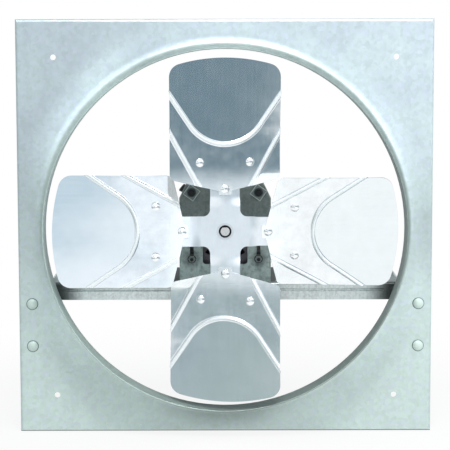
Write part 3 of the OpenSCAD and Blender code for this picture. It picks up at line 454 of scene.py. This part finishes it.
coreLook = {
    "colour": (0.20, 0.20, 0.21), "sheets": 9000, "edgeFrom": (-1, 0.2), "gaps": 0.3,
    "rustColour": (0.14, 0.09, 0.06), "rustScale": 90, "rustFrom": (0.55, 0.8), "rust": 0.5,
    "metallic": 0.8, "rough": 0.45, "roughSpread": 0.2, "bump": 0.3, "bumpDepth": 0.0003}


# Copper wire under dark baked varnish.
def wound(name, look):
    bench = Bench(name)
    spot = bench.place()
    strands = bench.add("ShaderNodeTexWave", {"wave_type": "RINGS", "rings_direction": "Y"},
                        {"Vector": spot, "Scale": look["wires"], "Distortion": look["loose"],
                         "Detail": 2.0, "Detail Scale": 1.0})
    varnish = bench.noise(spot, look["varnishScale"])
    tone = look["tone"] + strands * look["strands"] + varnish * look["varnish"]
    return bench.finish({
        "Base Color": bench.shade(look["colour"], tone), "Metallic": look["metallic"],
        "Roughness": look["rough"] + varnish * look["varnish"], "Coat Weight": look["coat"],
        "Normal": bench.bump(strands, look["bump"], look["bumpDepth"])})


windingLook = {
    "colour": (0.085, 0.050, 0.040), "wires": 220, "loose": 2.0, "tone": 0.55, "strands": 0.5,
    "varnishScale": 60, "varnish": 0.2, "metallic": 0.3, "rough": 0.34, "coat": 0.2,
    "bump": 0.8, "bumpDepth": 0.0006}


# Blade sheet: a rolled aluminium mirror that wavers a little round its ribs and rivets.
def bladeMetal(name, look):
    bench = Bench(name)
    spot = bench.painted("sheetPlace", "Vector")
    tip = bench.painted("tipZone")
    rib = bench.painted("ribZone").between(*look["ribFrom"])  # ribs less metallic and duller so they read lighter: a painted highlight
    lines = bench.noise(bench.stretch(spot, look["rolled"]), look["lineScale"]) - 0.5
    clouds = bench.noise(spot, look["cloudScale"], detail=4, rough=0.6) - 0.5
    smears = bench.noise(spot, look["smearScale"], detail=4, rough=0.6) - 0.5
    grain = bench.noise(spot, grainScale, detail=2) - 0.5
    root = 1 - tip * look["tipCalm"]
    seated = bench.parts(spot)[1].between(*look["seat"])  # pressed on to the spider
    tone = (1 + lines * look["lines"] + clouds * look["clouds"] * root
            + smears * look["smears"] * root)
    wave = bench.noise(spot, look["waveScale"], detail=2, rough=0.4)
    wavy = bench.bump(wave * root, 1.0, look["wave"])
    fine = bench.bump(lines + grain * look["grain"], look["bump"], look["bumpDepth"], wavy)
    # Painted shade: beyond the U rib the sheet is a little darker and less mottled.
    colour = bench.blend(tip, look["rootColour"], look["tipColour"])
    # Painted highlight: the ribs take their own colour and lose metal.
    colour = bench.blend(rib, bench.shade(colour, tone), look["ribHighlightColour"])
    rough = look["rough"] + (clouds + lines) * look["roughSpread"] + rib * look["roughRibs"]
    return bench.finish({
        "Base Color": colour, "Roughness": rough, "Normal": fine,
        "Metallic": (1 - seated * look["seated"]) * (1 - rib * look["ribs"])})


bladeLook = {
    "rootColour": (0.87, 0.91, 0.94), "tipColour": (0.84, 0.89, 0.92), "tipCalm": 0.7,
    "ribHighlightColour": (0.74, 0.785, 0.81), "ribFrom": (0.08, 0.60), "ribs": 0.6,
    "seat": (0.120, 0.072), "seated": 0.45, "rolled": (1, 0.03, 1), "lineScale": 300,
    "lines": 0.05, "cloudScale": 24, "clouds": 0.30, "smearScale": 60, "smears": 0.22,
    "waveScale": 17, "wave": 0.0016, "grain": 0.15, "bump": 0.025, "bumpDepth": 0.00008,
    "rough": 0.19, "roughSpread": 0.06, "roughRibs": 0.1}

# Every finish by its name: how it is made, its look, and the frame's nodes that wear it.
finishes = {
    "galvanisedPanel": (galvanised, panelLook, ["venturi_panel"]),
    "galvanisedShelf": (galvanised, shelfLook, ["motor_shelf"]),
    "galvanisedLeg": (galvanised, legLook, ["left_leg", "right_leg"]),
    "plateSteel": (galvanised, plateLook, ["motor_plate"]),
    "washerSteel": (fixingSteel, washerLook, ["square_washers", "round_washers"]),
    "nutSteel": (fixingSteel, nutLook, ["fixing_nuts"]),
    "brightZinc": (sheen, zincLook, ["leg_nuts", "shelf_bolts", "shelf_nuts", "foot_bolts",
                                     "foot_nuts", "through_bolts", "spider"]),
    "boltZinc": (boltHeads, headLook, ["leg_bolts"]),
    "polishedRivet": (sheen, rivetLook, ["blade_rivets"]),
    "groundSteel": (sheen, steelLook, ["shaft", "thrust_collars"]),
    "oiledBronze": (sheen, bronzeLook, ["front_bearing", "rear_bearing"]),
    "platedHub": (shadowedGreasyHub, hubLook, ["hub"]),
    "blackOxide": (blackFinish, oxideLook, ["fixing_bolts", "hub_screw"]),
    "mouldedRubber": (blackFinish, rubberLook, ["isolators"]),
    "motorPaint": (blackFinish, paintLook, ["front_end_bell", "rear_end_bell", "motor_shell"]),
    "bushingPlastic": (blackFinish, plasticLook, ["lead_bushing"]),
    "stackedSteel": (laminated, coreLook, ["stator_core", "rotor_core"]),
    "copperTurns": (wound, windingLook, ["stator_windings"]),
    "rolledSheet": (bladeMetal, bladeLook, ["blade_1", "blade_2", "blade_3", "blade_4"])}

materials = {}
for name, (make, look, wearers) in finishes.items():
    materials[name] = make(name, look)
    for wearer in wearers:
        mesh = nodes[wearer].data
        for index in range(len(mesh.materials)):
            mesh.materials[index] = materials[name]
        if not mesh.materials:
            mesh.materials.append(materials[name])
print("finishes made:", len(materials))


def smoothStep(value):
    value = min(1.0, max(0.0, value))
    return value * value * (3 - 2 * value)


def steps(start, end, count):  # count places from start to just before end
    return [start + (end - start) * index / count for index in range(count)]


# Matrix from a front view in mm, with z towards the viewer, to the fan in metres.
def frontView(depth, turn=0.0, pitch=0.0):
    return (Matrix.Scale(0.001, 4) @ Matrix.Translation((0, depth, 0))
            @ Matrix.Rotation(math.radians(90), 4, "X")
            @ Matrix.Rotation(math.radians(turn), 4, "Z")
            @ Matrix.Rotation(math.radians(pitch), 4, "Y"))


sharpAngle = math.radians(40)  # steeper edges stay sharp


def makePiece(name, shape, finish):
    bmesh.ops.recalc_face_normals(shape, faces=shape.faces)
    mesh = bpy.data.meshes.new(name)
    shape.to_mesh(mesh)
    shape.free()
    mesh.shade_smooth()
    mesh.set_sharp_from_angle(angle=sharpAngle)
    mesh.materials.append(materials[finish])
    piece = bpy.data.objects.new(name, mesh)
    bpy.context.scene.collection.objects.link(piece)
    return piece


# The blades in mm: x across a blade, y away from the fan axis, z towards the viewer.
blade = {
    "count": 4, "apart": 90, "halfWidth": 99.0, "sheet": 1.6, "pitch": 13.5, "front": -62.0,
    "root": 69.0, "rootFall": 24.0, "rootCorner": 9.0, "tabHalf": 11.5, "tabEnd": 64.5,
    "tip": 304.5, "tipCorner": 24.0, "rib": 10.0, "ribHeight": 3.0,
    "uRib": 154.0, "uBend": 76.0, "uAngle": math.radians(55.6),
    "sideX": 47.5, "sideRib": 81.0, "sideAngle": math.radians(61),
    "flap": 102.0, "flapAngle": math.radians(16), "flat": 20.0, "camber": 2.8,
    "camberStart": 136.0, "camberLength": 100.0, "washout": math.radians(3),
    "washoutStart": 150.0, "washoutLength": 168.5, "tipLean": math.radians(0.6),
    "tipBlend": 6.0, "patternStep": 900.0}
blade["cornerX"] = blade["halfWidth"] - blade["tipCorner"]
blade["cornerY"] = math.sqrt((blade["tip"] - blade["tipCorner"]) ** 2 - blade["cornerX"] ** 2)


def rootLine(x):
    if abs(x) <= blade["tabHalf"]:
        return blade["tabEnd"]
    corner = blade["rootCorner"]
    inside = max(0.0, abs(x) - blade["halfWidth"] + corner)
    rounding = corner - math.sqrt(max(0.0, corner * corner - inside * inside))
    return blade["root"] + blade["rootFall"] * abs(x) / blade["halfWidth"] + rounding


def tipLine(x):
    tip, corner = blade["tip"], blade["tipCorner"]
    if abs(x) <= blade["cornerX"] * tip / (tip - corner):
        return math.sqrt(tip * tip - x * x)
    aside = abs(x) - blade["cornerX"]
    return blade["cornerY"] + math.sqrt(max(0.0, corner * corner - aside * aside))


def sideRibLine(x):
    return blade["sideRib"] + (abs(x) - blade["sideX"]) * math.tan(blade["sideAngle"])


def uRibSlope(x):
    bent = min(abs(x), blade["uBend"] * math.sin(blade["uAngle"]))
    return math.asin(bent / blade["uBend"])


def uRibLine(x):
    bend = blade["uBend"]
    bent = min(abs(x), bend * math.sin(blade["uAngle"]))
    return (blade["uRib"] + bend - math.sqrt(bend * bend - bent * bent)
            + (abs(x) - bent) * math.tan(blade["uAngle"]))


def ribRise(aside):
    if abs(aside) >= blade["rib"] / 2:
        return 0.0
    return blade["ribHeight"] * (1 + math.cos(2 * math.pi * aside / blade["rib"])) / 2


def sideRibRise(x, y):
    if abs(x) < blade["sideX"] - blade["rib"]:
        return 0.0
    return ribRise((y - sideRibLine(x)) * math.cos(blade["sideAngle"]))


def uRibRise(x, y):
    return ribRise((y - uRibLine(x)) * math.cos(uRibSlope(x)))


def bladeRise(x, y):
    flap = 0.0
    if x > 0 and y < min(blade["flap"], sideRibLine(x)):
        flap = (blade["flap"] - y) * math.tan(blade["flapAngle"])
    curl = max(0.0, abs(x) - blade["flat"]) / (blade["halfWidth"] - blade["flat"])
    curl *= curl * smoothStep((y - blade["camberStart"]) / blade["camberLength"])
    twist = smoothStep((y - blade["washoutStart"]) / blade["washoutLength"])
    lean = max(0.0, y - uRibLine(x)) * math.tan(blade["tipLean"])
    return (max(sideRibRise(x, y), flap) + uRibRise(x, y) + blade["camber"] * curl
            + x * math.tan(blade["washout"]) * twist - lean)


# How many columns and rows each stretch of a blade has, and the gaps between them in mm.
bladeGrid = {
    "tab": 4, "side": 22, "cornerDegrees": 6, "root": 5, "crease": 2, "sideRib": 5,
    "middle": 8, "uRib": 12, "tip": 14, "tabGap": 0.6, "ribGap": 0.4, "rootGap": 1.5,
    "rootStep": 0.3, "creaseFromRoot": 1.0, "creaseFromRib": 0.5}


def bladeColumns():
    grid, tab, corner = bladeGrid, blade["tabHalf"], blade["cornerX"]
    half = steps(tab / grid["tab"], tab, grid["tab"] - 1) + [tab]
    half += steps(tab + grid["tabGap"], corner, grid["side"])
    half += [corner + blade["tipCorner"] * math.sin(math.radians(angle))
             for angle in range(0, 91, grid["cornerDegrees"])]
    return [-x for x in reversed(half)] + [0.0] + half


# Places along one column, crowded where the sheet bends.
def bladeRows(x):
    grid, gap = bladeGrid, bladeGrid["ribGap"]
    root, tip = rootLine(x), tipLine(x)
    sideReach = blade["rib"] / 2 / math.cos(blade["sideAngle"])
    uReach = blade["rib"] / 2 / math.cos(uRibSlope(x))
    side = [max(root + grid["rootGap"] + grid["rootStep"] * index,
                sideRibLine(x) + sideReach * (index / grid["sideRib"] - 1))
            for index in range(2 * grid["sideRib"] + 1)]
    crease = max(root + grid["creaseFromRoot"],
                 min(blade["flap"], side[0] - grid["creaseFromRib"]))
    uStart, uEnd = uRibLine(x) - uReach, uRibLine(x) + uReach
    rows = steps(root, crease, grid["root"])
    rows += steps(crease, side[0] - gap, grid["crease"]) + [side[0] - gap] + side
    rows += steps(side[-1] + gap, uStart - gap, grid["middle"]) + [uStart - gap]
    rows += steps(uStart, uEnd, grid["uRib"]) + [uEnd]
    return rows + steps(uEnd + gap, tip, grid["tip"]) + [tip]


def makeBlade(index):
    columns = bladeColumns()
    rows = [bladeRows(x) for x in columns]
    lastColumn, lastRow = len(columns) - 1, len(rows[0]) - 1
    shape = bmesh.new()
    bmesh.ops.create_grid(shape, x_segments=lastColumn, y_segments=lastRow, size=1)
    for corner in shape.verts:
        column = round((corner.co.x + 1) / 2 * lastColumn)
        row = round((corner.co.y + 1) / 2 * lastRow)
        x, y = columns[column], rows[column][row]
        corner.co = (x, y, blade["sheet"] + bladeRise(x, y))
    shape.normal_update()
    bmesh.ops.solidify(shape, geom=shape.faces[:], thickness=blade["sheet"])
    spotLayer = shape.verts.layers.float_vector.new("sheetPlace")
    tipLayer = shape.verts.layers.float.new("tipZone")
    ribLayer = shape.verts.layers.float.new("ribZone")
    for corner in shape.verts:
        x, y, z = corner.co
        beyond = (y - uRibLine(x)) * math.cos(uRibSlope(x))
        corner[spotLayer] = Vector((x, y, z + blade["patternStep"] * index)) / 1000
        corner[tipLayer] = smoothStep(beyond / blade["tipBlend"] + 0.5)
        corner[ribLayer] = max(sideRibRise(x, y), uRibRise(x, y)) / blade["ribHeight"]
    shape.transform(frontView(blade["front"], -blade["apart"] * index, blade["pitch"]))
    piece = makePiece("bladeSheet%d" % (index + 1), shape, "rolledSheet")
    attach(piece, "rotor")
    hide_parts("blade_%d" % (index + 1))


for index in range(blade["count"]):
    makeBlade(index)
print("blades made:", blade["count"])

# The spider in mm, one arm as a grid that starts at the hub's neck.
spider = {
    "sheet": 2.5, "neckHole": 15.0, "armHalf": 26.5, "fillet": 12.5, "twistStart": 41.0,
    "twistEnd": 63.5, "padNeck": 76.0, "padShoulder": 110.0, "padHalf": 57.0,
    "padEnd": 136.0, "padCorner": 8.0, "columns": 24, "neckRows": 6, "filletDegrees": 5,
    "twistRows": 16, "merge": 0.01}


# Rows of an arm: half width and distance from the axis, and the share of the round neck.
def armRows():
    arm, fillet = spider["armHalf"], spider["fillet"]
    centre = arm + fillet
    diagonal = centre - fillet * math.sqrt(0.5)
    rows = [(diagonal, diagonal, 1 - place) for place in steps(0, 1, spider["neckRows"])]
    for angle in range(45, 91, spider["filletDegrees"]):  # from the diagonal to the arm's side
        turn = math.radians(angle)
        rows.append((centre - fillet * math.sin(turn), centre - fillet * math.cos(turn), 0))
    twist = steps(spider["twistStart"], spider["twistEnd"], spider["twistRows"])
    rows += [(arm, y, 0) for y in twist]
    rows += [(arm, spider["twistEnd"], 0), (arm, spider["padNeck"], 0),
             (spider["padHalf"], spider["padShoulder"], 0),
             (spider["padHalf"], spider["padEnd"] - spider["padCorner"], 0),
             (spider["padHalf"] - spider["padCorner"], spider["padEnd"], 0)]
    return rows


def makeSpider():
    rows = armRows()
    lastRow, twistStart = len(rows) - 1, spider["twistStart"]
    twistLength = spider["twistEnd"] - twistStart
    shape = bmesh.new()
    bmesh.ops.create_grid(shape, x_segments=spider["columns"], y_segments=lastRow, size=1)
    for corner in shape.verts:
        half, y, roundness = rows[round((corner.co.y + 1) / 2 * lastRow)]
        share = corner.co.x
        flat = Vector((share * half, y, 0))
        angle = math.radians(blade["apart"] / 2 * share)
        neck = spider["neckHole"] * Vector((math.sin(angle), math.cos(angle), 0))
        spot = flat.lerp(neck, roundness)
        twist = math.radians(blade["pitch"]) * smoothStep((spot.y - twistStart) / twistLength)
        corner.co = Matrix.Rotation(twist, 3, "Y") @ spot
    arm = shape.verts[:] + shape.edges[:] + shape.faces[:]
    for index in range(1, blade["count"]):
        copy = bmesh.ops.duplicate(shape, geom=arm)["geom"]
        copied = [item for item in copy if isinstance(item, bmesh.types.BMVert)]
        turn = Matrix.Rotation(math.radians(-blade["apart"] * index), 3, "Z")
        bmesh.ops.rotate(shape, verts=copied, cent=(0, 0, 0), matrix=turn)
    bmesh.ops.remove_doubles(shape, verts=shape.verts, dist=spider["merge"])
    shape.normal_update()
    bmesh.ops.solidify(shape, geom=shape.faces[:], thickness=spider["sheet"])
    shape.transform(frontView(blade["front"]))
    piece = makePiece("spiderPlate", shape, "brightZinc")
    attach(piece, "rotor")
    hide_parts("spider")


makeSpider()
print("spider made")

# What polished metal sees, by direction from the fan: degrees to the right and up, with the
# half width and half height of each card, how softly it ends, and its tone.
studio = {
    "sky": (0.98, 1.02, 1.06), "ground": (1.06, 1.07, 1.06), "skySpan": (-0.2, 0.5),
    "behind": (0.52, 0.57, 0.58), "behindSpan": (-0.1, 0.35),
    "ambient": (0.44, 0.485, 0.49), "ambientTop": (0.80, 0.84, 0.88),
    "ambientSpan": (-0.3, 0.8),
    "cards": [
        {"turn": 90, "up": -8, "wide": 35, "high": 14, "soft": 8, "tone": (0.30, 0.36, 0.35)},
        {"turn": -90, "up": -8, "wide": 35, "high": 14, "soft": 8, "tone": (0.30, 0.36, 0.35)},
        {"turn": -8, "up": 10, "wide": 14, "high": 7, "soft": 4, "tone": (0.58, 0.71, 0.80)},
        {"turn": 35, "up": 1, "wide": 27, "high": 12, "soft": 3, "tone": (0.165, 0.245, 0.29)},
        {"turn": -30, "up": -15, "wide": 24, "high": 7, "soft": 2, "tone": (0.41, 0.49, 0.49)},
        {"turn": -30, "up": -6, "wide": 24, "high": 3, "soft": 2, "tone": (0.24, 0.33, 0.37)},
        {"turn": -36, "up": 19, "wide": 10, "high": 6, "soft": 3, "tone": (0.30, 0.32, 0.30)}],
    "rear": {"turn": 180, "up": 9, "wide": 20, "high": 11, "soft": 5,
             "tone": (0.05, 0.065, 0.065)}}


def cardMask(card, turn, up):
    across = (turn - card["turn"]).apply("WRAP", 180, -180).apply("ABSOLUTE")
    along = (up - card["up"]).apply("ABSOLUTE")
    soft = card["soft"]
    return (across.between(card["wide"] + soft, card["wide"] - soft)
            * along.between(card["high"] + soft, card["high"] - soft))


def makeWorld():
    world = bpy.data.worlds.new("studio")
    bpy.context.scene.world = world
    world.use_nodes = True
    bench = Bench("studio", world.node_tree)
    towards = bench.add("ShaderNodeTexCoord", out="Generated")
    side, depth, height = bench.parts(towards)
    turn = side.apply("ARCTAN2", -depth) * math.degrees(1)
    up = height.apply("ARCSINE") * math.degrees(1)
    shine = bench.blend(height.between(*studio["skySpan"]), studio["ground"], studio["sky"])
    for card in studio["cards"]:
        shine = bench.blend(cardMask(card, turn, up), shine, card["tone"])
    shine = bench.blend(depth.between(*studio["behindSpan"]), shine, studio["behind"])
    shine = bench.blend(cardMask(studio["rear"], turn, up), shine, studio["rear"]["tone"])
    ambient = bench.blend(height.between(*studio["ambientSpan"]),
                          studio["ambient"], studio["ambientTop"])
    camera = bench.add("ShaderNodeLightPath", out="Is Camera Ray")
    colour = bench.blend(camera.twin("Is Glossy Ray"), ambient, shine)
    colour = bench.blend(camera, colour, (1, 1, 1))
    shader = bench.add("ShaderNodeBackground", {}, {"Color": colour, "Strength": 1.0})
    bench.add("ShaderNodeOutputWorld", {}, {"Surface": shader}, out=None)


makeWorld()

# Both lamps point at the fan. Only one that shines is mirrored in the metal.
lamps = {
    "key": {"at": (0.10, -1.7, 2.5), "size": 0.9, "power": 55, "colour": (1, 0.99, 0.97),
            "shines": True},
    "fill": {"at": (1.3, -1.0, 0.5), "size": 0.8, "power": 15, "colour": (0.97, 0.99, 1),
             "shines": False}}

for name, lamp in lamps.items():
    data = bpy.data.lights.new(name, "AREA")
    data.energy, data.size, data.color = lamp["power"], lamp["size"], lamp["colour"]
    light = bpy.data.objects.new(name, data)
    bpy.context.scene.collection.objects.link(light)
    light.location = lamp["at"]
    light.visible_glossy = lamp["shines"]
    light.rotation_euler = (-Vector(lamp["at"])).to_track_quat("-Z", "Y").to_euler()

floorLook = {"height": -0.3722, "size": 80.0, "colour": (0.62, 0.63, 0.62), "glow": 0.86,
             "near": 0.3, "far": 1.3}


def makeFloor():
    shape = bmesh.new()
    bmesh.ops.create_grid(shape, x_segments=1, y_segments=1, size=floorLook["size"] / 2)
    bmesh.ops.translate(shape, vec=(0, 0, floorLook["height"]), verts=shape.verts)
    mesh = bpy.data.meshes.new("floor")
    shape.to_mesh(mesh)
    shape.free()
    floor = bpy.data.objects.new("floor", mesh)
    bpy.context.scene.collection.objects.link(floor)
    floor.visible_glossy = False
    bench = Bench("floorPaper")
    camera = bench.add("ShaderNodeLightPath", out="Is Camera Ray")
    x, y, z = bench.parts(bench.place())
    glow = distance(x, y).between(floorLook["near"], floorLook["far"], floorLook["glow"], 1.0)
    paper = bench.add("ShaderNodeBsdfDiffuse", {}, {"Color": floorLook["colour"]})
    white = bench.add("ShaderNodeEmission", {}, {"Color": (1, 1, 1), "Strength": 1.0})
    mixed = bench.add("ShaderNodeMixShader", {}, {0: camera * glow, 1: paper, 2: white})
    bench.add("ShaderNodeOutputMaterial", {}, {"Surface": mixed}, out=None)
    mesh.materials.append(bench.material)


makeFloor()

view = {"lens": 136.0, "sensor": 36.0, "clip": (0.1, 200), "distance": 3.05, "up": 6.3,
        "aim": (-0.0002, 0.0, 0.0047), "roll": 0.13}


def makeCamera():
    data = bpy.data.cameras.new("camera")
    data.lens, data.sensor_width = view["lens"], view["sensor"]
    data.clip_start, data.clip_end = view["clip"]
    camera = bpy.data.objects.new("camera", data)
    bpy.context.scene.collection.objects.link(camera)
    bpy.context.scene.camera = camera
    lift = math.radians(view["up"])
    back = Vector((0, -math.cos(lift), math.sin(lift)))
    camera.location = Vector(view["aim"]) + back * view["distance"]
    aimed = (-back).to_track_quat("-Z", "Y").to_matrix()
    rolled = aimed @ Matrix.Rotation(math.radians(-view["roll"]), 3, "Z")
    camera.rotation_euler = rolled.to_euler()


makeCamera()
bpy.context.scene.view_settings.view_transform = "Standard"
print("studio ready")
